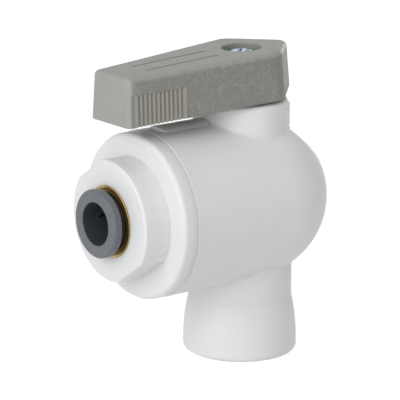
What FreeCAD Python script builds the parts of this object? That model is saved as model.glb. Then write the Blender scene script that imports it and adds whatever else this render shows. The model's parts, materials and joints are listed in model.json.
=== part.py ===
import FreeCAD, Part
import math
import os

# Elbow ball valve: a push-in tube inlet along +X, a female pipe thread facing down,
# and a quarter-turn lever on top. All sizes are in millimetres. Z runs up the stem,
# X runs out of the inlet, and the origin is the centre of the outlet's mouth,
# on the face that the valve stands on.

os.makedirs("parts", exist_ok=True)
Vector = FreeCAD.Vector

# What the valve joins to
tube_diameter = 9.525
tube_play = 0.0875
pipe_thread_diameter = 20.955
pipe_thread_play = 0.0225
pipe_thread_depth = 13.0

# Fits
assembly_fit = 0.05
running_gap = 0.08
stem_running_gap = 0.07

# Body
axis_height = 36.4
drum_radius = 19.0
drum_front = 26.8
dome_centre = -1.15
neck_radius = 12.0
skirt_radius = 13.24
flare_top = 13.1
flare_bottom = 2.1
skirt_rounding = 1.2
boss_radius = 11.1
boss_rise = 23.1
boss_rounding = 1.0
root_fillet = 0.8
drum_front_rounding = 0.35
crest_rib_width = 6.0
crest_rib_rise = 0.8
crest_rib_gap = 0.6
crest_rib_front = 24.6
crest_rib_front_rounding = 2.2
crest_rib_back_rounding = 0.8

# Water way
flow_radius = 4.0
outlet_way_radius = 6.0
ball_radius = 11.0
chamber_room = 2.2

# Ball seats, the same at the inlet and at the back
seat_radius = 8.5
seat_back_wall = 1.5
seat_width = 4.7
seat_stand_out = 0.8
seat_bore_step = 0.4
seat_ring_radius = 7.2

# Small sealing rings
small_cord = 1.48
small_groove_room = 0.1

# End cap
cap_flange = 3.9
cap_flange_setback = 0.15
cap_flange_rounding = 1.0
hub_radius = 13.8
hub_length = 6.75
hub_rounding = 0.5
hub_flats = 25.4
hub_flats_turn = -55.4
hub_mouth_chamfer = 0.15
pilot_radius = 16.6
pilot_length = 3.1
pilot_groove_setback = 0.6
cap_thread_radius = 15.0
cap_nose_length = 5.0

# Push-in socket
insertion_depth = 22.1
tube_stop_bore = 2.4
seal_bore_radius = 7.05
seal_bore_length = 4.8
tube_ring_cord = 2.3
spacer_width = 1.7
spacer_flange = 1.2
sleeve_radius = 8.05
sleeve_stand_out = 0.2
sleeve_rim = 0.45
sleeve_rim_step = 0.15
sleeve_dish = 0.3
sleeve_edge_rounding = 0.1
sleeve_lip = 2.75
sleeve_lip_radius = 6.6
sleeve_cone_length = 3.0
sleeve_inner_radius = 7.4

# Collet
collet_flange_radius = 7.72
collet_flange = 2.0
collet_rounding = 0.45
collet_mouth_chamfer = 0.15
collet_play = 0.25
collet_travel = 1.3
collet_travel_room = 0.15
collet_head_length = 2.0
collet_nose_length = 0.7
collet_nose_step = 0.65
finger_count = 4
finger_slot = 0.7
finger_slot_length = 7.5
tooth_thickness = 0.4
tooth_bite = 0.2
tooth_root_radius = 6.1
tooth_arc = 50.0
tooth_setback = 1.6

# Stem
stem_radius = 4.98
stem_flange_radius = 6.6
stem_flange_room = 0.2
stem_flange_height = 1.5
ball_top_gap = 0.5
tang_width = 4.0
tang_length = 9.0
tang_depth = 3.0
slot_side_room = 0.1
slot_end_room = 0.2
thrust_washer = 0.7
groove_bottom_radius = 3.5
lower_groove_rise = 2.8
upper_groove_rise = 6.2
stem_shoulder_rise = 1.0
drive_radius = 4.0
drive_flats = 5.6
drive_height = 5.4
screw_hole_radius = 1.75
screw_hole_depth = 9.0

# Stops for the quarter turn
open_angle = 0.0
closed_angle = -90.0
stop_wall_inner = 6.5
stop_wall_outer = 7.6
stop_wall_height = 1.7
stop_web = 1.6
stop_play = 1.5

# Lever
lever_reach = 36.55
lever_tip_width = 13.1
lever_hub_width = 21.1
lever_shoulder = 2.6
lever_rim_gap = 0.83
lever_height = 10.93
lever_droop = 2.85
lever_droop_bend = 60.0
lever_draft = 2.2
lever_back_draft = 4.0
lever_edge_rounding = 1.2
tip_corner_rounding = 1.25
shoulder_rounding = 4.5
back_corner_rounding = 2.4
hollow_corner_rounding = 0.4
heel_bevel_height = 2.2
heel_bevel_depth = 0.95
lever_wall = 1.8
lever_roof = 2.2
lever_rib = 1.4
lever_rib_gap = 0.6
socket_radius = 6.0
socket_floor = 1.6
screw_recess_radius = 4.55
screw_recess_floor = 3.4
screw_recess_rounding = 0.45

# Grip grooves on both sides of the lever, and the two plain lines on its top
grip_grooves = 11
grip_pitch = 1.08
grip_groove_width = 0.7
grip_groove_floor = 0.3
grip_groove_depth = 0.5
grip_start = 1.9
grip_height = 7.0
top_line_start = 8.5
top_line_end = 29.0
top_line_spacing = 5.2
top_line_width = 0.6
top_line_depth = 0.3

# Handle screw
screw_head_radius = 3.2
screw_head_height = 2.6
screw_head_rounding = 1.3
screw_shank_radius = 1.7
screw_length = 9.5
screw_point = 1.4
screw_point_radius = 0.5
cross_width = 0.9
cross_floor_width = 0.6
cross_span = 3.7
cross_floor_span = 1.8
cross_depth = 1.3
cross_turn = 20.0

# How far a cutting shape reaches past the face that it opens, and how near counts as touching
over = 1.0
touching = 0.002
shortest_line = 1e-7

# Worked out from the values above
origin = Vector(0, 0, 0)
up = Vector(0, 0, 1)
along_inlet = Vector(1, 0, 0)
ball_centre = Vector(0, 0, axis_height)
tube_bore_radius = tube_diameter / 2 + tube_play
pipe_bore_radius = pipe_thread_diameter / 2 + pipe_thread_play
boss_top = axis_height + boss_rise
chamber_radius = ball_radius + chamber_room
seat_back = ball_radius + seat_back_wall
seat_front = seat_back - seat_width
pocket_mouth = seat_front + seat_stand_out
seat_bore = flow_radius + seat_bore_step
small_section = small_cord / 2
small_groove = small_cord + small_groove_room
cap_flange_radius = drum_radius - cap_flange_setback
hub_base = drum_front + cap_flange
hub_face = hub_base + hub_length
cap_nose_shoulder = pocket_mouth + cap_nose_length
pilot_start = drum_front - pilot_length
pilot_groove_end = drum_front - pilot_groove_setback
pilot_ring_radius = pilot_radius - small_section
sleeve_front = hub_face + sleeve_stand_out
sleeve_lip_start = sleeve_front - sleeve_dish
sleeve_cone_start = sleeve_lip_start - sleeve_lip
sleeve_cone_end = sleeve_cone_start - sleeve_cone_length
collet_back = sleeve_front + collet_travel + collet_travel_room
collet_face = collet_back + collet_flange
tube_stop = collet_face - insertion_depth
seal_start = tube_stop + tube_stop_bore
sleeve_back = seal_start + seal_bore_length
collet_barrel_radius = sleeve_lip_radius - collet_play
collet_head_radius = sleeve_inner_radius - collet_play
collet_head_end = sleeve_cone_end - collet_head_length
collet_end = collet_head_end - collet_nose_length
flange_bottom = axis_height + ball_radius + ball_top_gap
flange_top = flange_bottom + stem_flange_height
washer_bottom = flange_top + assembly_fit
washer_top = washer_bottom + thrust_washer
stem_shoulder = boss_top + stem_shoulder_rise
drive_top = stem_shoulder + drive_height
lever_rim = boss_top + lever_rim_gap
lever_top = lever_rim + lever_height
lever_taper = (lever_hub_width - lever_tip_width) / 2 / lever_reach
lever_point = lever_shoulder + lever_hub_width / 2 + lever_taper * lever_shoulder
lever_back = lever_point - (math.sqrt(2) - 1) * back_corner_rounding
droop_slope = math.tan(math.radians(lever_droop))
draft_slope = math.tan(math.radians(lever_draft))
back_draft_slope = math.tan(math.radians(lever_back_draft))
recess_floor = lever_top - screw_recess_floor
socket_roof = recess_floor - socket_floor
stop_wall_middle = (stop_wall_inner + stop_wall_outer) / 2
stop_web_half_angle = math.degrees(math.asin(stop_web / 2 / stop_wall_middle))
stop_web_angle = (open_angle - closed_angle) / 2
stop_window = stop_web_angle + stop_web_half_angle + stop_play


def corner_frame(corners, index):
    """Give a corner's point, the unit directions to its neighbours and half the angle between them."""
    here = Vector(corners[index][0], corners[index][1], 0)
    before = Vector(corners[index - 1][0], corners[index - 1][1], 0)
    following = corners[(index + 1) % len(corners)]
    after = Vector(following[0], following[1], 0)
    back = (before - here).normalize()
    ahead = (after - here).normalize()
    half_angle = back.getAngle(ahead) / 2
    return here, back, ahead, half_angle


def rounded_wire(corners, place):
    """Join the corners with straight lines, and round each corner that states a radius."""
    runs = []
    for index, corner in enumerate(corners):
        here, back, ahead, half_angle = corner_frame(corners, index)
        if len(corner) < 3:
            runs.append([here])
            continue
        radius = corner[2]
        reach = radius / math.tan(half_angle)
        inward = (back + ahead).normalize()
        middle = here + inward * (radius / math.sin(half_angle) - radius)
        runs.append([here + back * reach, middle, here + ahead * reach])
    edges = []
    for index, run in enumerate(runs):
        if len(run) == 3:
            edges.append(Part.Arc(*[place(point) for point in run]).toShape())
        following = runs[(index + 1) % len(runs)][0]
        if run[-1].distanceToPoint(following) > shortest_line:
            edges.append(Part.makeLine(place(run[-1]), place(following)))
    return Part.Wire(edges)


def turned_on_inlet(*corners):
    """Turn a profile of (distance along the inlet, radius) about the inlet's axis."""
    wire = rounded_wire(corners, lambda point: Vector(point.x, 0, axis_height + point.y))
    return Part.Face(wire).revolve(ball_centre, along_inlet, 360)


def turned_on_stem(*corners):
    """Turn a profile of (radius, height) about the stem's axis."""
    wire = rounded_wire(corners, lambda point: Vector(point.x, 0, point.y))
    return Part.Face(wire).revolve(origin, up, 360)


def inlet_ring(inner, outer, start, end):
    """Make a plain ring round the inlet's axis."""
    return turned_on_inlet((start, inner), (end, inner), (end, outer), (start, outer))


def upright(radius, bottom, top):
    """Make a plain cylinder on the stem's axis."""
    return Part.makeCylinder(radius, top - bottom, Vector(0, 0, bottom), up)


def sealing_ring(middle_radius, section_radius, centre, direction):
    """Make a round-section sealing ring."""
    return Part.makeTorus(middle_radius, section_radius, centre, direction)


def on_inlet(distance):
    """Give the point on the inlet's axis at a distance from the stem's axis."""
    return Vector(distance, 0, axis_height)


def neck():
    """Turn the outlet neck, whose lower end swells in one long arc to a straight skirt."""
    rise = flare_top - flare_bottom
    swell = skirt_radius - neck_radius
    arc_radius = (rise ** 2 + swell ** 2) / (2 * swell)
    half_turn = math.atan(swell / rise)
    arc_middle = Vector(
        skirt_radius - arc_radius * (1 - math.cos(half_turn)),
        0,
        flare_bottom + arc_radius * math.sin(half_turn),
    )
    foot_inset = skirt_rounding * (1 - math.sqrt(0.5))
    foot_start = Vector(skirt_radius - skirt_rounding, 0, 0)
    foot_middle = Vector(skirt_radius - foot_inset, 0, foot_inset)
    foot_end = Vector(skirt_radius, 0, skirt_rounding)
    flare_start = Vector(skirt_radius, 0, flare_bottom)
    flare_end = Vector(neck_radius, 0, flare_top)
    neck_end = Vector(neck_radius, 0, axis_height)
    edges = [
        Part.makeLine(origin, foot_start),
        Part.Arc(foot_start, foot_middle, foot_end).toShape(),
        Part.makeLine(foot_end, flare_start),
        Part.Arc(flare_start, arc_middle, flare_end).toShape(),
        Part.makeLine(flare_end, neck_end),
        Part.makeLine(neck_end, ball_centre),
        Part.makeLine(ball_centre, origin),
    ]
    return Part.Face(Part.Wire(edges)).revolve(origin, up, 360)


def root_edges(shape):
    """Find the curved edges where the boss and the neck grow out of the drum."""
    found = []
    for edge in shape.Edges:
        middle = edge.valueAt((edge.FirstParameter + edge.LastParameter) / 2)
        reach = math.hypot(middle.x, middle.y)
        on_boss = abs(reach - boss_radius) < touching and axis_height < middle.z < boss_top - boss_rounding
        on_neck = abs(reach - neck_radius) < touching and flare_top + over < middle.z < axis_height
        if (on_boss or on_neck) and edge.Curve.TypeId not in ("Part::GeomLine", "Part::GeomCircle"):
            found.append(edge)
    return found


def crest_rib():
    """Make the low, half-round rib that runs along the crest of the drum, in front of the boss."""
    start = boss_radius + crest_rib_gap
    length = crest_rib_front - start
    half = crest_rib_width / 2
    crest = axis_height + drum_radius
    arch = crest_rib_rise + drum_radius - math.sqrt(drum_radius ** 2 - half ** 2)
    arch_radius = (arch ** 2 + half ** 2) / 2 / arch
    arch_axis = Vector(start, 0, crest + crest_rib_rise - arch_radius)
    outline = [
        (start, -half, crest_rib_back_rounding),
        (crest_rib_front, -half, crest_rib_front_rounding),
        (crest_rib_front, half, crest_rib_front_rounding),
        (start, half, crest_rib_back_rounding),
    ]
    wire = rounded_wire(outline, lambda point: Vector(point.x, point.y, crest - over))
    block = Part.Face(wire).extrude(Vector(0, 0, over + 2 * crest_rib_rise))
    return block.common(Part.makeCylinder(arch_radius, length, arch_axis, along_inlet))


def stop_wall():
    """Make the part-ring on the boss that the lever's web meets at each end of the quarter turn."""
    sweep = 360 - 2 * stop_window
    height = stop_wall_height
    outer = Part.makeCylinder(stop_wall_outer, height, Vector(0, 0, boss_top), up, sweep)
    inner = Part.makeCylinder(stop_wall_inner, height, Vector(0, 0, boss_top), up, 360)
    wall = outer.cut(inner)
    wall.rotate(origin, up, stop_window)
    return wall


def valve_body():
    """Mould the body: drum, dome, neck, skirt, boss, crest rib and stop wall, with the chamber inside."""
    dome = Part.makeSphere(drum_radius, on_inlet(dome_centre))
    drum = turned_on_inlet(
        (dome_centre, 0),
        (drum_front, 0),
        (drum_front, drum_radius, drum_front_rounding),
        (dome_centre, drum_radius),
    )
    boss = turned_on_stem(
        (0, axis_height),
        (boss_radius, axis_height),
        (boss_radius, boss_top, boss_rounding),
        (0, boss_top),
    )
    outside = dome.fuse([drum, neck(), boss]).removeSplitter()
    outside = outside.makeFillet(root_fillet, root_edges(outside))
    outside = outside.fuse([crest_rib(), stop_wall()])
    chamber = turned_on_inlet(
        (-seat_back, 0),
        (-seat_back, seat_radius + assembly_fit),
        (-pocket_mouth, seat_radius + assembly_fit),
        (-pocket_mouth, chamber_radius),
        (cap_nose_shoulder, chamber_radius),
        (cap_nose_shoulder, cap_thread_radius + assembly_fit),
        (pilot_start, cap_thread_radius + assembly_fit),
        (pilot_start, pilot_radius + assembly_fit),
        (drum_front + over, pilot_radius + assembly_fit),
        (drum_front + over, 0),
    )
    rear_groove = inlet_ring(
        seat_ring_radius - small_groove / 2,
        seat_ring_radius + small_groove / 2,
        -seat_back - small_groove,
        -seat_back,
    )
    hollows = [
        chamber,
        rear_groove,
        upright(pipe_bore_radius, -over, pipe_thread_depth),
        upright(outlet_way_radius, 0, axis_height),
        upright(stem_flange_radius + stem_flange_room, axis_height, washer_top),
        upright(stem_radius + stem_running_gap, axis_height, boss_top + over),
    ]
    return outside.cut(hollows)


def end_cap():
    """Turn the screwed end cap, with its spanner flats, seat pocket and stepped tube socket."""
    outside = turned_on_inlet(
        (pocket_mouth, 0),
        (hub_face, 0),
        (hub_face, hub_radius, hub_rounding),
        (hub_base, hub_radius),
        (hub_base, cap_flange_radius, cap_flange_rounding),
        (drum_front, cap_flange_radius),
        (drum_front, pilot_radius),
        (pilot_start, pilot_radius),
        (pilot_start, cap_thread_radius),
        (cap_nose_shoulder, cap_thread_radius),
        (cap_nose_shoulder, chamber_radius - assembly_fit),
        (pocket_mouth, chamber_radius - assembly_fit),
    )
    inside = turned_on_inlet(
        (pocket_mouth - over, 0),
        (pocket_mouth - over, seat_radius + assembly_fit),
        (seat_back, seat_radius + assembly_fit),
        (seat_back, flow_radius),
        (tube_stop, flow_radius),
        (tube_stop, tube_bore_radius),
        (seal_start, tube_bore_radius),
        (seal_start, seal_bore_radius),
        (sleeve_back, seal_bore_radius),
        (sleeve_back, sleeve_radius),
        (hub_face - hub_mouth_chamfer, sleeve_radius),
        (hub_face, sleeve_radius + hub_mouth_chamfer),
        (hub_face + over, sleeve_radius + hub_mouth_chamfer),
        (hub_face + over, 0),
    )
    seat_groove = inlet_ring(
        seat_ring_radius - small_groove / 2,
        seat_ring_radius + small_groove / 2,
        seat_back,
        seat_back + small_groove,
    )
    pilot_groove = inlet_ring(
        pilot_ring_radius - small_section,
        pilot_radius + over,
        pilot_groove_end - small_groove,
        pilot_groove_end,
    )
    cutters = [inside, seat_groove, pilot_groove]
    for turn in (hub_flats_turn - 90, hub_flats_turn + 90):
        corner = Vector(hub_base, -drum_radius, axis_height + hub_flats / 2)
        slab = Part.makeBox(hub_length, 2 * drum_radius, drum_radius, corner)
        slab.rotate(ball_centre, along_inlet, turn)
        cutters.append(slab)
    return outside.cut(cutters)


def ball_seat(side):
    """Make a seat whose face is hollowed to the ball; side is 1 at the inlet and -1 at the back."""
    blank = turned_on_inlet(
        (side * seat_front, seat_bore),
        (side * seat_back, seat_bore),
        (side * seat_back, seat_radius),
        (side * seat_front, seat_radius),
    )
    return blank.cut(Part.makeSphere(ball_radius + running_gap, ball_centre))


def seat_ring(side):
    """Make the ring that backs a seat; side is 1 at the inlet and -1 at the back."""
    centre = on_inlet(side * (seat_back + small_section))
    return sealing_ring(seat_ring_radius, small_section, centre, along_inlet)


def cap_ring():
    """Make the ring that seals the end cap in the body's mouth."""
    centre = on_inlet(pilot_groove_end - small_groove / 2)
    return sealing_ring(pilot_ring_radius + assembly_fit / 2, small_section, centre, along_inlet)


def ball():
    """Make the ball with its elbow way, from the inlet side to the bottom, and the stem's slot on top."""
    sphere = Part.makeSphere(ball_radius, ball_centre)
    reach = ball_radius + over
    slot_floor = axis_height + ball_radius - tang_depth
    slot_width = tang_width + 2 * slot_side_room
    slot = Part.makeBox(2 * reach, slot_width, reach, Vector(-reach, -slot_width / 2, slot_floor))
    ways = [
        Part.makeCylinder(flow_radius, reach, ball_centre, along_inlet),
        Part.makeCylinder(flow_radius, reach, ball_centre, up * -1),
        Part.makeSphere(flow_radius, ball_centre),
        slot,
    ]
    return sphere.cut(ways)


def groove_centre(rise):
    """Give the middle height of a stem groove from its rise above the thrust washer."""
    return washer_top + rise


def stem():
    """Turn the stem with its inner flange, ring grooves and flatted drive, and add the tang below it."""
    shaft = turned_on_stem(
        (0, flange_bottom),
        (stem_flange_radius, flange_bottom),
        (stem_flange_radius, flange_top),
        (stem_radius, flange_top),
        (stem_radius, stem_shoulder),
        (drive_radius, stem_shoulder),
        (drive_radius, drive_top),
        (0, drive_top),
    )
    tang_bottom = axis_height + ball_radius - tang_depth + slot_end_room
    tang = Part.makeBox(
        tang_length,
        tang_width,
        flange_bottom - tang_bottom,
        Vector(-tang_length / 2, -tang_width / 2, tang_bottom),
    )
    cutters = [upright(screw_hole_radius, drive_top - screw_hole_depth, drive_top + over)]
    for rise in (lower_groove_rise, upper_groove_rise):
        bottom = groove_centre(rise) - small_groove / 2
        collar = upright(stem_radius + over, bottom, bottom + small_groove)
        cutters.append(collar.cut(upright(groove_bottom_radius, bottom, bottom + small_groove)))
    for start in (-drive_flats / 2 - drive_radius, drive_flats / 2):
        corner = Vector(-drive_radius, start, stem_shoulder)
        cutters.append(Part.makeBox(2 * drive_radius, drive_radius, drive_height, corner))
    return shaft.fuse(tang).cut(cutters)


def stem_ring(rise):
    """Make one of the stem's sealing rings, just clear of the bore that it runs in."""
    middle_radius = groove_bottom_radius + small_section + assembly_fit / 2
    return sealing_ring(middle_radius, small_section, Vector(0, 0, groove_centre(rise)), up)


def stem_thrust_washer():
    """Make the slippery washer between the stem's flange and the roof of the chamber."""
    outer = upright(stem_flange_radius + stem_flange_room - assembly_fit, washer_bottom, washer_top)
    return outer.cut(upright(stem_radius + stem_running_gap, washer_bottom, washer_top))


def lever_height_at(distance, level):
    """Give the height of a plane of the lever that drops towards the tip."""
    return level - distance * droop_slope


def across_lever(*corners):
    """Extrude a profile of (distance along the lever, height[, rounding]) right across the lever."""
    wire = rounded_wire(corners, lambda point: Vector(point.x, -lever_hub_width, point.y))
    return Part.Face(wire).extrude(Vector(0, 2 * lever_hub_width, 0))


def below_plane(level):
    """Make a large block that lies below one of the lever's drooping planes."""
    back = -2 * lever_back
    tip = 2 * lever_reach
    return across_lever(
        (back, 0),
        (tip, 0),
        (tip, lever_height_at(tip, level)),
        (back, lever_height_at(back, level)),
    )


def below_top(level):
    """Make a large block below a surface that is level behind the shoulders and droops in front of them."""
    back = -2 * lever_back
    tip = 2 * lever_reach
    bend_height = lever_height_at(-lever_shoulder, level)
    return across_lever(
        (back, 0),
        (tip, 0),
        (tip, lever_height_at(tip, level)),
        (-lever_shoulder, bend_height, lever_droop_bend),
        (back, bend_height),
    )


def lever_outline(height, inset):
    """Give the corners of the lever's drafted plan at a height, moved inwards by the inset."""
    spread = (lever_top - height) * draft_slope - inset
    back_spread = (lever_top - height) * back_draft_slope - inset
    reach = lever_reach + spread
    tip = lever_tip_width / 2 + spread
    shoulder = lever_shoulder + math.sqrt(2) * back_spread - spread
    shoulder_half = lever_hub_width / 2 + spread + lever_taper * shoulder
    point = shoulder + shoulder_half
    tip_rounding = max(tip_corner_rounding - inset, hollow_corner_rounding)
    shoulder_blend = max(shoulder_rounding - inset, hollow_corner_rounding)
    back_rounding = max(back_corner_rounding - inset, hollow_corner_rounding)
    return [
        (reach, -tip, tip_rounding),
        (reach, tip, tip_rounding),
        (-shoulder, shoulder_half, shoulder_blend),
        (-point, 0, back_rounding),
        (-shoulder, -shoulder_half, shoulder_blend),
    ]


def lever_skin(inset):
    """Loft the lever's drafted outside, or a shape that lies inside it by the inset."""
    wires = []
    for height in (lever_rim - lever_wall, lever_top + lever_wall):
        corners = lever_outline(height, inset)
        wires.append(rounded_wire(corners, lambda point, z=height: Vector(point.x, point.y, z)))
    return Part.makeLoft(wires, True, True)


def grip_cutters():
    """Make the upright grooves of the grip, with sloping walls, that follow both drafted sides."""
    low = lever_rim - lever_wall
    rise = lever_top - low
    lean = Vector(0, -rise * draft_slope, rise)
    mouth = grip_groove_width / 2
    floor = grip_groove_floor / 2
    teeth = []
    for index in range(grip_grooves):
        middle = lever_reach - grip_start - (index + 0.5) * grip_pitch
        side = lever_hub_width / 2 - middle * lever_taper + rise * draft_slope
        section = [
            (middle - mouth, side + over),
            (middle - mouth, side),
            (middle - floor, side - grip_groove_depth),
            (middle + floor, side - grip_groove_depth),
            (middle + mouth, side),
            (middle + mouth, side + over),
        ]
        corners = [Vector(x, y, low) for x, y in section]
        tooth = Part.Face(Part.makePolygon(corners + corners[:1])).extrude(lean)
        teeth += [tooth, tooth.mirror(origin, Vector(0, 1, 0))]
    return teeth[0].fuse(teeth[1:]).common(below_plane(lever_rim + grip_height))


def top_line_cutters():
    """Make the two shallow lines along the lever's top."""
    length = top_line_end - top_line_start
    lines = []
    for side in (-1, 1):
        corner = Vector(top_line_start, side * top_line_spacing / 2 - top_line_width / 2, lever_rim)
        lines.append(Part.makeBox(length, top_line_width, 2 * lever_height, corner))
    return lines[0].fuse(lines[1]).cut(below_plane(lever_top - top_line_depth))


def lever_hollow():
    """Make the hollow under the lever, with the socket, long rib and stop web left standing in it."""
    hollow = lever_skin(lever_wall).common(below_top(lever_top - lever_roof))
    socket = upright(socket_radius, 0, lever_top)
    rib_start = stop_wall_outer + lever_rib_gap
    rib = Part.makeBox(lever_reach, lever_rib, lever_top, Vector(rib_start, -lever_rib / 2, 0))
    web = Part.makeBox(2 * lever_back, stop_web, lever_top, Vector(0, -stop_web / 2, 0))
    web.rotate(origin, up, stop_web_angle)
    return hollow.cut([socket, rib, web])


def flatted(radius, flats, bottom, top):
    """Make a round bar with two flats that face along Y."""
    bar = upright(radius, bottom, top)
    slab = Part.makeBox(2 * radius, flats, top - bottom, Vector(-radius, -flats / 2, bottom))
    return bar.common(slab)


def heel_cutter():
    """Make the wedge that bevels the lever's lower back corner."""
    back = -lever_back - math.sqrt(2) * (lever_top - lever_rim) * back_draft_slope
    rim = lever_height_at(back, lever_rim)
    steepness = heel_bevel_height / heel_bevel_depth
    return across_lever(
        (back - over, rim + heel_bevel_height + over * steepness),
        (back + heel_bevel_depth + over / steepness, rim - over),
        (back - over, rim - over),
    )


def recess_rim(lever):
    """Find the edges where the screw's recess opens through the lever's top."""
    found = []
    for edge in lever.Edges:
        ends = [vertex.Point for vertex in edge.Vertexes]
        on_wall = all(abs(math.hypot(end.x, end.y) - screw_recess_radius) < touching for end in ends)
        if on_wall and all(end.z > recess_floor + over for end in ends):
            found.append(edge)
    return found


def handle():
    """Mould the lever: tapered and drafted, with a drooping top, a grooved grip and a hollow underside."""
    lever = lever_skin(0).common(below_top(lever_top)).cut(below_plane(lever_rim))
    top_edges = []
    for edge in lever.Edges:
        middle = edge.CenterOfMass
        bend_seam = abs(middle.y) < touching and -lever_back + over < middle.x < 0
        if middle.z > recess_floor and not bend_seam:
            top_edges.append(edge)
    lever = lever.makeFillet(lever_edge_rounding, top_edges)
    lever = lever.cut(upright(screw_recess_radius, recess_floor, lever_top + over))
    lever = lever.makeFillet(screw_recess_rounding, recess_rim(lever))
    lever = lever.cut(lever_hollow())
    lever = lever.fuse(upright(socket_radius, stem_shoulder, lever_rim + over))
    cutters = [
        grip_cutters(),
        top_line_cutters(),
        heel_cutter(),
        upright(screw_hole_radius + assembly_fit, socket_roof - over, recess_floor + over),
        flatted(drive_radius + assembly_fit, drive_flats + 2 * assembly_fit, stem_shoulder, socket_roof),
        upright(socket_radius + over, 0, stem_shoulder),
    ]
    return lever.cut(cutters)


def handle_screw():
    """Turn the pan-head screw and cut its cross recess."""
    head_top = recess_floor + screw_head_height
    shank_end = recess_floor - screw_length
    blank = turned_on_stem(
        (0, shank_end),
        (screw_point_radius, shank_end),
        (screw_shank_radius, shank_end + screw_point),
        (screw_shank_radius, recess_floor),
        (screw_head_radius, recess_floor),
        (screw_head_radius, head_top, screw_head_rounding),
        (0, head_top),
    )
    arms = []
    for turn in (cross_turn, cross_turn + 90):
        arm = Part.makeWedge(
            -cross_span / 2, 0, -cross_width / 2, -cross_floor_width / 2, -cross_floor_span / 2,
            cross_span / 2, cross_depth, cross_width / 2, cross_floor_width / 2, cross_floor_span / 2,
        )
        arm.rotate(origin, along_inlet, -90)
        arm.translate(Vector(0, 0, head_top))
        arm.rotate(origin, up, turn)
        arms.append(arm)
    return blank.cut(arms)


def brass_sleeve():
    """Turn the sleeve that lines the socket, dished at its mouth, with a cone that closes the collet's fingers."""
    return turned_on_inlet(
        (sleeve_back, sleeve_inner_radius),
        (sleeve_cone_end, sleeve_inner_radius),
        (sleeve_cone_start, sleeve_lip_radius),
        (sleeve_lip_start, sleeve_lip_radius),
        (sleeve_front - sleeve_rim_step, sleeve_radius - sleeve_rim - sleeve_rim_step),
        (sleeve_front, sleeve_radius - sleeve_rim),
        (sleeve_front, sleeve_radius, sleeve_edge_rounding),
        (sleeve_back, sleeve_radius),
    )


def seal_spacer():
    """Turn the spacer that holds the tube's sealing ring in place."""
    start = sleeve_back - spacer_width
    end = sleeve_back + spacer_flange
    return turned_on_inlet(
        (start, tube_bore_radius),
        (end, tube_bore_radius),
        (end, sleeve_inner_radius - assembly_fit),
        (sleeve_back, sleeve_inner_radius - assembly_fit),
        (sleeve_back, seal_bore_radius - assembly_fit),
        (start, seal_bore_radius - assembly_fit),
    )


def tube_ring():
    """Make the ring that seals on the tube."""
    section = tube_ring_cord / 2
    space_end = sleeve_back - spacer_width
    centre = on_inlet((seal_start + space_end) / 2)
    return sealing_ring(seal_bore_radius - section - assembly_fit / 2, section, centre, along_inlet)


def teeth():
    """Make the thin steel teeth, one arc to each finger, that lean inwards to bite the tube."""
    tip_radius = tube_bore_radius - tooth_bite
    tip = collet_end + tooth_setback
    root = tip + tooth_root_radius - tip_radius
    face = Part.Face(
        Part.makePolygon(
            [
                Vector(tip, 0, axis_height + tip_radius),
                Vector(root, 0, axis_height + tooth_root_radius),
                Vector(root + tooth_thickness, 0, axis_height + tooth_root_radius),
                Vector(tip + tooth_thickness, 0, axis_height + tip_radius),
                Vector(tip, 0, axis_height + tip_radius),
            ]
        )
    )
    arcs = []
    for index in range(finger_count):
        arc = face.revolve(ball_centre, along_inlet, tooth_arc)
        arc.rotate(ball_centre, along_inlet, (index + 0.5) * 360 / finger_count - tooth_arc / 2)
        arcs.append(arc)
    return arcs


def collet():
    """Turn the push-in collet, split its fingers and leave a seat in each for its steel tooth."""
    blank = turned_on_inlet(
        (collet_end, tube_bore_radius),
        (collet_face - collet_mouth_chamfer, tube_bore_radius),
        (collet_face, tube_bore_radius + collet_mouth_chamfer),
        (collet_face, collet_flange_radius, collet_rounding),
        (collet_back, collet_flange_radius, collet_rounding),
        (collet_back, collet_barrel_radius),
        (sleeve_cone_start, collet_barrel_radius),
        (sleeve_cone_end, collet_head_radius),
        (collet_head_end, collet_head_radius),
        (collet_end, collet_head_radius - collet_nose_step),
    )
    cutters = teeth()
    for index in range(finger_count):
        slot = Part.makeBox(
            finger_slot_length,
            finger_slot,
            collet_flange_radius,
            Vector(collet_end, -finger_slot / 2, axis_height),
        )
        slot.rotate(ball_centre, along_inlet, index * 360 / finger_count)
        cutters.append(slot)
    return blank.cut(cutters)


pieces = {
    "valve_body": valve_body(),
    "end_cap": end_cap(),
    "end_cap_o_ring": cap_ring(),
    "inlet_seat": ball_seat(1),
    "inlet_seat_o_ring": seat_ring(1),
    "rear_seat": ball_seat(-1),
    "rear_seat_o_ring": seat_ring(-1),
    "ball": ball(),
    "stem": stem(),
    "stem_thrust_washer": stem_thrust_washer(),
    "lower_stem_o_ring": stem_ring(lower_groove_rise),
    "upper_stem_o_ring": stem_ring(upper_groove_rise),
    "handle": handle(),
    "handle_screw": handle_screw(),
    "brass_sleeve": brass_sleeve(),
    "seal_spacer": seal_spacer(),
    "tube_o_ring": tube_ring(),
    "collet": collet(),
}
for index, tooth in enumerate(teeth()):
    pieces[f"collet_tooth_{index + 1}"] = tooth

for name, shape in pieces.items():
    solids = shape.Solids
    valid = all(solid.isValid() and solid.Volume > 0 for solid in solids)
    print(f"{name}: {len(solids)} solid(s), {shape.Volume:.1f} mm3, {'valid' if valid else 'NOT VALID'}")
    shape.exportStep(f"parts/{name}.step")
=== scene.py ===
import json
import math

import bpy
import numpy as np
from mathutils import Matrix, Vector


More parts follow.
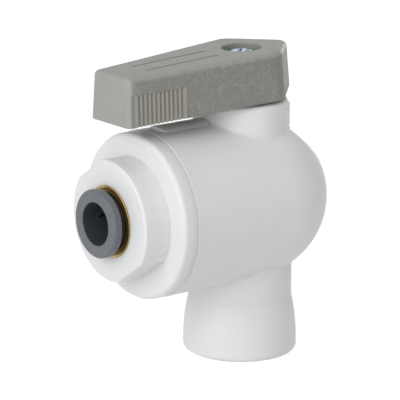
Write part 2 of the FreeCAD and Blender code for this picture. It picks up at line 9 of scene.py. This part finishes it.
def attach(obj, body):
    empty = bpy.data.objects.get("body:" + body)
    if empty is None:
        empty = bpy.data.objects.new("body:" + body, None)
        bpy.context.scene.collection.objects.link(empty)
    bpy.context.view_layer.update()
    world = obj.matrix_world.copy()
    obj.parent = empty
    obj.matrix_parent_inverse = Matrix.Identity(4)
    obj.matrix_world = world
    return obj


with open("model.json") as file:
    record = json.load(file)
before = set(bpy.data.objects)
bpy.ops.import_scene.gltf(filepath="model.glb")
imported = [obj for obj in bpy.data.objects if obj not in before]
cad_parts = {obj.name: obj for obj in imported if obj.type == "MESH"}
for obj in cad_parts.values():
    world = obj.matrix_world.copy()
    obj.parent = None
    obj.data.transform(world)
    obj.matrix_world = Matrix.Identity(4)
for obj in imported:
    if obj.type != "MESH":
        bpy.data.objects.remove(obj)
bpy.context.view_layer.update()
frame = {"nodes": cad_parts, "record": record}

# Elbow ball valve. Lengths are in metres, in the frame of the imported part: Z runs up the stem,
# X runs out of the tube inlet, and the origin is the centre of the outlet's mouth.
mm = 0.001

# The outlet's female pipe thread, G 1/2: its profile, the share of it that is flat at the root and at the
# crest, how far its shell is let into the wall, where it starts and ends, and how long it rises and runs out
thread_pitch = 1.814 * mm
thread_root_radius = 10.48 * mm
thread_crest_radius = 9.32 * mm
thread_flat = 0.1
thread_wall_radius = 10.5 * mm
thread_let_in = 0.06 * mm
thread_start = 0.2 * mm
thread_depth = 12.7 * mm
thread_lead_in = 1.6 * mm
thread_run_out = 2.2 * mm
thread_points_round = 144
thread_points_along = 200

# The height of the inlet's axis, the collet's bore, the back of its head, how far in the painted shade behind
# the head reaches, and the inside of the sleeve's rim
inlet_height = 36.4 * mm
collet_bore = 4.85 * mm
collet_back = 39.1 * mm
painted_shade_end = 36.0 * mm
sleeve_rim_radius = 7.3 * mm

# The lever's top, where it starts to droop and how steeply, the screw's recess, and on the lever's sides the
# smooth grip and the line in front of it
lever_top = 71.26 * mm
droop_start = -2.6 * mm
droop_slope = math.tan(math.radians(2.85))
recess_radius = 4.7 * mm
grip_back = 22.0 * mm
grip_front = 35.15 * mm
grip_line = 35.65 * mm
grip_top = 67.35 * mm

# The axes that count in a distance from the stem's axis and from the inlet's axis
across_stem = (1, 1, 0)
across_inlet = (0, 1, 1)

# Most of a noise lies between these values
noise_middle = {"From Min": 0.3, "From Max": 0.7}


def linear(code):
    """Turn an sRGB hex value into linear red, green and blue, with a full alpha."""
    channels = [int(code[start:start + 2], 16) / 255 for start in (1, 3, 5)]
    return [c / 12.92 if c <= 0.04045 else ((c + 0.055) / 1.055) ** 2.4 for c in channels] + [1.0]


def feed(tree, node, inputs):
    """Set or link a node's inputs, each by its name or number. A text is a colour's hex value, and a node
    stands for the first of its outputs that is in use."""
    for name, value in inputs.items():
        if isinstance(value, bpy.types.Node):
            value = next(output for output in value.outputs if output.enabled)
        if isinstance(value, bpy.types.NodeSocket):
            tree.links.new(value, node.inputs[name])
        else:
            node.inputs[name].default_value = linear(value) if isinstance(value, str) else value


def add_node(tree, kind, inputs=(), **settings):
    """Add one shader node with its settings, and feed it inputs, given by name or number or in their order."""
    node = tree.nodes.new("ShaderNode" + kind)
    for name, value in settings.items():
        setattr(node, name, value)
    feed(tree, node, inputs if isinstance(inputs, dict) else dict(enumerate(inputs)))
    return node


def new_finish(name, **constants):
    """Start a material: its node tree, its shader with these constants, and its object coordinates."""
    material = bpy.data.materials.new(name)
    material.use_nodes = True
    tree = material.node_tree
    shader = tree.nodes["Principled BSDF"]
    feed(tree, shader, {socket.replace("_", " "): value for socket, value in constants.items()})
    place = add_node(tree, "TexCoord").outputs["Object"]
    return material, tree, shader, place


def mottled(tree, place, low, high, size):
    """Give a number that drifts from low to high in patches of this size."""
    noise = add_node(tree, "TexNoise", {"Vector": place, "Scale": 1 / size})
    return add_node(tree, "MapRange", {"Value": noise, **noise_middle, "To Min": low, "To Max": high})


def painted(tree, colour, *coats):
    """Lay coats over a colour, one after another. Each is its share, from 0 to 1 over the surface, and its
    colour."""
    for share, coat in coats:
        colour = add_node(tree, "Mix", {0: share, 6: colour, 7: coat}, data_type="RGBA")
    return colour


def clouded(tree, place, first, second, size):
    """Give a colour that drifts between two in clouds of this size."""
    return painted(tree, first, (mottled(tree, place, 0.0, 1.0, size), second))


def grained(tree, place, size, depth, detail=2.0, **under):
    """Give the normal of a surface with grains of this size and depth, on top of another if it is given."""
    noise = add_node(tree, "TexNoise", {"Vector": place, "Scale": 1 / size, "Detail": detail})
    return add_node(tree, "Bump", {"Height": noise, "Distance": depth, **under})


def zone(tree, value, blur, low=None, high=None):
    """Give 1 between two limits of a value and 0 outside them, with a ramp this wide at each. Either limit may
    be left out."""
    ramps = [
        add_node(tree, "MapRange", {"Value": value, "From Min": limit - blur / 2, "From Max": limit + blur / 2})
        for limit in (low, high) if limit is not None
    ]
    if high is None:
        return ramps[0]
    return add_node(tree, "Math", (1.0 if low is None else ramps[0], ramps[-1]), operation="SUBTRACT")


def off_axis(tree, place, across, height=0.0):
    """Give how far a point lies from the stem's axis, or from the inlet's at its height."""
    centred = add_node(tree, "Mapping", {"Vector": place, "Location": (0, 0, -height)})
    flat = add_node(tree, "VectorMath", (centred, across), operation="MULTIPLY")
    return add_node(tree, "VectorMath", (flat,), operation="LENGTH")


def plain_finish(name, clouds, patches, grains, **constants):
    """Make a material from two colours and the size of their clouds, two values of roughness and the size of
    their patches, and the size and depth of its grains."""
    material, tree, shader, place = new_finish(name, **constants)
    feed(tree, shader, {
        "Base Color": clouded(tree, place, *clouds),
        "Roughness": mottled(tree, place, *patches),
        "Normal": grained(tree, place, *grains),
    })
    return material


def white_polypropylene():
    """Polypropylene, injection moulded in a polished mould: dense satin white, with a faint orange peel on low,
    wide waves."""
    material, tree, shader, place = new_finish(
        "moulded_white_polypropylene",
        IOR=1.49, Subsurface_Weight=0.5, Subsurface_Scale=2.5 * mm, Subsurface_Radius=(1.0, 1.0, 1.0),
    )
    waves = grained(tree, place, size=4 * mm, depth=0.008 * mm, detail=1.0)
    feed(tree, shader, {
        "Base Color": clouded(tree, place, "#EDEDEE", "#E9EAEB", size=9 * mm),
        "Roughness": mottled(tree, place, 0.42, 0.5, size=2.5 * mm),
        "Normal": grained(tree, place, size=0.7 * mm, depth=0.0025 * mm, Normal=waves),
    })
    return material


def grey_nylon():
    """Glass-filled nylon, moulded: warm grey, with spark-eroded grain on the sides, and smooth on the top, tip,
    grip and recess. Real grain is about 0.2 mm across, too fine to show in the render, so it is drawn as pale
    worms on a noise of 1 mm."""
    material, tree, shader, place = new_finish("moulded_grey_nylon", IOR=1.53)
    grain_size = 1.0 * mm
    worm_share = 0.09
    worm_height = 0.08 * mm
    grip_height = 0.25 * mm
    edge_patch = 1.2 * mm
    edge_wander = 1.6 * mm
    spot = add_node(tree, "SeparateXYZ", (place,)).outputs

    # The height that each point would have if the lever didn't droop, and the rough part's ragged upper edge
    past_bend = add_node(tree, "Math", (spot["X"], droop_start), operation="MAXIMUM")
    drop = add_node(tree, "Math", (past_bend, droop_slope), operation="MULTIPLY")
    level = add_node(tree, "Math", (spot["Z"], drop), operation="ADD")
    noise = add_node(tree, "TexNoise", {"Vector": place, "Scale": 1 / edge_patch})
    ragged = add_node(tree, "Math", (noise, edge_wander, level), operation="MULTIPLY_ADD")

    # Where the lever is smooth, and the rough part that is left
    on_top = zone(tree, ragged, blur=0.9 * mm, low=lever_top)
    on_tip = zone(tree, spot["X"], blur=0.5 * mm, low=grip_line)
    in_recess = zone(tree, off_axis(tree, place, across_stem), blur=0.1 * mm, high=recess_radius)
    polished = add_node(tree, "Math", (on_top, on_tip), operation="MAXIMUM")
    polished = add_node(tree, "Math", (polished, in_recess), operation="MAXIMUM")
    along_grip = zone(tree, spot["X"], blur=0.5 * mm, low=grip_back, high=grip_front)
    below_grip_top = zone(tree, level, blur=0.3 * mm, high=grip_top)
    grip = add_node(tree, "Math", (along_grip, below_grip_top), operation="MULTIPLY")
    side = add_node(tree, "Math", (1.0, polished), operation="SUBTRACT")
    off_grip = add_node(tree, "Math", (1.0, grip), operation="SUBTRACT")
    rough_part = add_node(tree, "Math", (side, off_grip), operation="MULTIPLY")

    # The worms run where a noise passes through its middle, and are paler in patches
    noise = add_node(tree, "TexNoise", {"Vector": place, "Scale": 1 / grain_size, "Detail": 3.0})
    off_middle = add_node(tree, "Math", (noise, 0.5), operation="SUBTRACT")
    off_middle = add_node(tree, "Math", (off_middle,), operation="ABSOLUTE")
    fade = {"From Min": 0.0, "From Max": worm_share, "To Min": 1.0, "To Max": 0.0}
    worms = add_node(tree, "MapRange", {"Value": off_middle, **fade})
    pale = mottled(tree, place, 0.15, 0.75, size=2.0 * mm)
    pale_worms = add_node(tree, "Math", (worms, pale), operation="MULTIPLY")
    rough = painted(tree, "#878680", (pale_worms, "#A6A59E"))
    smooth = clouded(tree, place, "#A3A49D", "#9E9F98", size=4 * mm)

    # The grip and the worms stand proud, and a groove runs down the line in front of the grip
    off_line = add_node(tree, "Math", (spot["X"], grip_line), operation="SUBTRACT")
    off_line = add_node(tree, "Math", (off_line,), operation="ABSOLUTE")
    on_line = zone(tree, off_line, blur=0.36 * mm, high=0.18 * mm)
    groove = add_node(tree, "Math", (on_line, below_grip_top), operation="MULTIPLY")
    proud_grip = add_node(tree, "Math", (grip, groove), operation="SUBTRACT")
    proud_worms = add_node(tree, "Math", (worms, rough_part), operation="MULTIPLY")
    normal = grained(tree, place, size=0.25 * mm, depth=0.006 * mm)
    for height, depth in ((proud_grip, grip_height), (proud_worms, worm_height)):
        normal = add_node(tree, "Bump", {"Height": height, "Distance": depth, "Normal": normal})

    feed(tree, shader, {
        # The recess is painted a darker grey, as painted shade
        "Base Color": painted(tree, smooth, (grip, "#A09E96"), (in_recess, "#91928B"), (rough_part, rough)),
        "Roughness": mottled(tree, place, 0.5, 0.62, size=1.2 * mm),
        "Normal": normal,
    })
    return material


def grey_acetal():
    """Acetal, moulded: slate grey and slightly waxy on the head, with painted shade: darker in the bore, and
    darkest behind the head, in the gap before the sleeve."""
    material, tree, shader, place = new_finish("moulded_grey_acetal", IOR=1.48)
    forward = add_node(tree, "SeparateXYZ", (place,)).outputs["X"]
    in_painted_shade = zone(tree, forward, blur=0.5 * mm, low=painted_shade_end)
    on_head = zone(tree, forward, blur=0.05 * mm, low=collet_back - 0.02 * mm)
    from_bore = off_axis(tree, place, across_inlet, inlet_height)
    off_bore = zone(tree, from_bore, blur=0.08 * mm, low=collet_bore + 0.06 * mm)
    head = clouded(tree, place, "#686D72", "#62676C", size=1.5 * mm)
    # Painted shade: near black behind the head, where the gap before the sleeve lies in shade, over a mid grey
    # for the fingers deeper in
    outside = painted(tree, "#5A6168", (in_painted_shade, "#202225"), (on_head, head))
    feed(tree, shader, {
        # Painted shade: the bore is painted a darker grey, for the shade inside it
        "Base Color": painted(tree, "#42484E", (off_bore, outside)),
        "Roughness": mottled(tree, place, 0.38, 0.48, size=0.8 * mm),
        "Normal": grained(tree, place, size=0.4 * mm, depth=0.003 * mm),
    })
    return material


def white_acetal():
    """Natural acetal, machined: slightly warm white with a waxy sheen."""
    return plain_finish(
        "machined_white_acetal", clouds=("#EBE8DF", "#E6E3D9", 3 * mm), patches=(0.3, 0.4, 1 * mm),
        grains=(0.3 * mm, 0.002 * mm), IOR=1.48,
    )


def white_ptfe():
    """PTFE, skived and turned: milky, soft white with a greasy sheen."""
    return plain_finish(
        "turned_white_ptfe", clouds=("#F0F0EC", "#E8E8E3", 2 * mm), patches=(0.4, 0.5, 1 * mm),
        grains=(0.25 * mm, 0.002 * mm), IOR=1.38,
    )


def black_rubber():
    """Nitrile rubber, compression moulded: near black, matt where it is dusty and greasy elsewhere."""
    return plain_finish(
        "moulded_black_rubber", clouds=("#1C1C1D", "#262627", 1 * mm), patches=(0.45, 0.7, 0.6 * mm),
        grains=(0.2 * mm, 0.004 * mm), IOR=1.52,
    )


def turned_brass():
    """Free-cutting brass, turned on a lathe: yellow, with rings of tool marks, slightly tarnished, and duller
    inside the rim."""
    material, tree, shader, place = new_finish("turned_brass", Metallic=1.0)
    ring_spacing = 0.12 * mm
    ring_run = 25 * mm
    stretch = (1 / ring_spacing, 1 / ring_run, 1 / ring_run)
    stretched = add_node(tree, "Mapping", {"Vector": place, "Scale": stretch})
    marks = add_node(tree, "TexNoise", {"Vector": stretched, "Scale": 1.0, "Distortion": 0.1})
    from_axis = off_axis(tree, place, across_inlet, inlet_height)
    rim = zone(tree, from_axis, blur=0.5 * mm, low=sleeve_rim_radius)
    painted_highlight_share = clouded(tree, place, "#B8A06C", "#A68E5A", size=1.5 * mm)
    cut = add_node(tree, "MapRange", {"Value": marks, **noise_middle, "To Min": 0.22, "To Max": 0.38})
    dulled = add_node(tree, "MapRange", {"Value": rim, "To Min": 0.3, "To Max": 0.0})
    feed(tree, shader, {
        "Base Color": painted(tree, "#B4934E", (rim, painted_highlight_share)),
        "Roughness": add_node(tree, "Math", (cut, dulled), operation="ADD"),
        "Normal": add_node(tree, "Bump", {"Height": marks, "Distance": 0.004 * mm}),
    })
    return material


def bright_zinc():
    """Steel, cold headed, zinc plated and blue passivated, with its light and shade painted in: a dark blue
    base stands in for the shade of the recess, and pale streaks, drawn about 0.45 mm wide, are painted
    highlights off the head."""
    material, tree, shader, place = new_finish("bright_zinc_plated_steel", Metallic=1.0)
    streaks_per_mm = 2.2
    # The camera's level sideways axis: the painted highlight streaks vary along it, so they stand upright in
    # the view
    across_streaks = (-0.786 / mm, 0.617 / mm, 0)
    across = add_node(tree, "VectorMath", (place, across_streaks), operation="DOT_PRODUCT")
    drawn = {"W": across, "Scale": streaks_per_mm, "Detail": 1.0}
    streaks = add_node(tree, "TexNoise", drawn, noise_dimensions="1D")
    painted_highlight_share = add_node(tree, "MapRange", {"Value": streaks, **noise_middle, "To Min": -0.3, "To Max": 1.3})
    feed(tree, shader, {
        # A dark blue painted as the recess's shade, under pale painted highlights
        "Base Color": painted(tree, "#566C84", (painted_highlight_share, "#E4EEF8")),
        "Roughness": mottled(tree, place, 0.2, 0.34, size=0.3 * mm),
        "Normal": grained(tree, place, size=0.25 * mm, depth=0.006 * mm, detail=3.0),
    })
    return material


def stainless_steel():
    """Stainless spring strip, rolled and stamped: bright and slightly grey."""
    return plain_finish(
        "rolled_stainless_steel", clouds=("#C4C3C0", "#B4B3B0", 0.3 * mm), patches=(0.2, 0.32, 0.2 * mm),
        grains=(0.15 * mm, 0.002 * mm), Metallic=1.0,
    )


finishes = {
    "white_polypropylene": white_polypropylene(),
    "white_ptfe": white_ptfe(),
    "white_acetal": white_acetal(),
    "black_rubber": black_rubber(),
    "grey_nylon": grey_nylon(),
    "grey_acetal": grey_acetal(),
    "turned_brass": turned_brass(),
    "zinc_plated_steel": bright_zinc(),
    "stainless_steel": stainless_steel(),
}


def give_finish(piece, slot_name):
    """Give a piece the one finish that its material slot names."""
    piece.data.materials.clear()
    piece.data.materials.append(finishes[slot_name])


def closed_surface(name, points, slot_name, body):
    """Make a mesh from a grid of points that closes on itself both ways, as a torus does."""
    rows, columns = points.shape[:2]
    index = np.arange(rows * columns).reshape(rows, columns)
    ahead = np.roll(index, -1, axis=0)
    corners = [index, np.roll(index, -1, axis=1), np.roll(ahead, -1, axis=1), ahead]
    faces = np.stack(corners, axis=-1).reshape(-1, 4)
    mesh = bpy.data.meshes.new(name)
    mesh.from_pydata(points.reshape(-1, 3), [], faces)
    mesh.polygons.foreach_set("use_smooth", np.ones(len(faces), bool))
    piece = bpy.data.objects.new(name, mesh)
    bpy.context.scene.collection.objects.link(piece)
    give_finish(piece, slot_name)
    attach(piece, body)


def ease(share):
    """Run smoothly from 0 to 1, level at both ends."""
    share = np.clip(share, 0, 1)
    return share * share * (3 - 2 * share)


def outlet_thread():
    """Cut the outlet's thread. At height z and angle a, the surface lies between root and crest by a rounded
    triangle wave of z / pitch - a / turn, and fades into the wall at both ends. Its back lies in the wall."""
    turn = np.linspace(0, 1, thread_points_round, endpoint=False)[:, None]
    height = np.linspace(thread_start, thread_depth, thread_points_along)[None, :]
    wave = np.abs(2 * ((height / thread_pitch - turn) % 1) - 1)
    rise = ease((wave - thread_flat) / (1 - 2 * thread_flat))
    ridges = thread_root_radius - (thread_root_radius - thread_crest_radius) * rise
    fade = ease(height / thread_lead_in) * ease((thread_depth - height) / thread_run_out)
    hidden = thread_wall_radius + thread_let_in
    front = hidden + (ridges - hidden) * fade
    back = np.full_like(front, hidden + thread_let_in)
    radius = np.concatenate([front, back], axis=1)
    level = np.broadcast_to(np.concatenate([height, height[:, ::-1]], axis=1), radius.shape)
    angle = 2 * np.pi * turn
    points = np.stack([radius * np.cos(angle), radius * np.sin(angle), level], axis=-1)
    closed_surface("outlet_thread", points, "white_polypropylene", "housing")


for subpart in frame["record"]["subparts"]:
    give_finish(frame["nodes"][subpart["node"]], subpart["material_slot"])

outlet_thread()

# The studio: a strength of 1 is white in the world and on the floor, and a lamp's level is a share of white
world_level = 0.43
floor_reach = 6.0
floor_glow = 0.55
lamp_target = Vector((0.004, 0, 0.036))

# The camera, as fitted to the photograph: its eye, the way back from the valve, its roll, and its lens and
# sensor in Blender's own millimetres
camera_eye = Vector((316.455, 390.545, 171.258)) * mm
camera_back = Vector((0.59362, 0.76112, 0.26136)).normalized()
camera_roll = math.radians(0.22)
camera_lens = 203.07
sensor_width = 36.0


def looking_rays(tree):
    """Give 1 for the rays of the camera, mirrors and glass, and 0 for those that light a surface."""
    path = add_node(tree, "LightPath").outputs
    looking = add_node(tree, "Math", (path["Is Camera Ray"], path["Is Glossy Ray"]), operation="MAXIMUM")
    return add_node(tree, "Math", (looking, path["Is Transmission Ray"]), operation="MAXIMUM")


def studio_world():
    """Light the scene evenly, and let the camera, mirrors and glass see plain white."""
    world = bpy.data.worlds.new("studio")
    world.use_nodes = True
    tree = world.node_tree
    strength = add_node(tree, "MapRange", {"Value": looking_rays(tree), "To Min": world_level, "To Max": 1.0})
    feed(tree, tree.nodes["Background"], {"Color": "#FFFFFF", "Strength": strength})
    bpy.context.scene.world = world


def studio_floor():
    """Lay a pale floor that takes the object's shadow and otherwise meets the white background."""
    mesh = bpy.data.meshes.new("floor")
    corners = [(floor_reach * x, floor_reach * y, 0) for x, y in ((-1, -1), (1, -1), (1, 1), (-1, 1))]
    mesh.from_pydata(corners, [], [(0, 1, 2, 3)])
    floor = bpy.data.objects.new("floor", mesh)
    bpy.context.scene.collection.objects.link(floor)
    material, tree, shader, _ = new_finish(
        "pale_floor", Base_Color="#F2F2F2", Roughness=0.9, Specular_IOR_Level=0.0, Emission_Color="#FFFFFF",
    )
    glow = add_node(tree, "Math", (looking_rays(tree), floor_glow), operation="MULTIPLY")
    feed(tree, shader, {"Emission Strength": glow})
    mesh.materials.append(material)


def soft_lamp(name, place, size, level):
    """Hang a square lamp that faces the valve and lights it to this level."""
    place = Vector(place)
    distance = (place - lamp_target).length
    lamp = bpy.data.lights.new(name, "AREA")
    lamp.shape = "SQUARE"
    lamp.size = size
    lamp.energy = level * (math.pi * distance) ** 2
    holder = bpy.data.objects.new(name, lamp)
    holder.location = place
    holder.rotation_mode = "QUATERNION"
    holder.rotation_quaternion = (lamp_target - place).to_track_quat("-Z", "Y")
    bpy.context.scene.collection.objects.link(holder)


def camera():
    """Set the camera where the photograph was taken from."""
    level = Vector((0, 0, 1)).cross(camera_back).normalized()
    upright = camera_back.cross(level)
    right = math.cos(camera_roll) * level + math.sin(camera_roll) * upright
    above = camera_back.cross(right)
    lens = bpy.data.cameras.new("camera")
    lens.sensor_width = sensor_width
    lens.lens = camera_lens
    lens.clip_start = 0.05
    lens.clip_end = 30.0
    holder = bpy.data.objects.new("camera", lens)
    turn = Matrix((right, above, camera_back)).transposed().to_4x4()
    holder.matrix_world = Matrix.Translation(camera_eye) @ turn
    bpy.context.scene.collection.objects.link(holder)
    bpy.context.scene.camera = holder


studio_world()
studio_floor()
soft_lamp("key_lamp", place=(0.638, 0.17, 0.3), size=0.5, level=0.445)
soft_lamp("high_lamp", place=(0.35, 0.35, 0.62), size=0.6, level=0.09)
soft_lamp("fill_lamp", place=(0.118, 0.65, 0.2), size=0.6, level=0.07)
soft_lamp("back_lamp", place=(-0.6, -0.5, 0.02), size=0.12, level=0.45)
camera()
bpy.context.scene.view_settings.view_transform = "Standard"
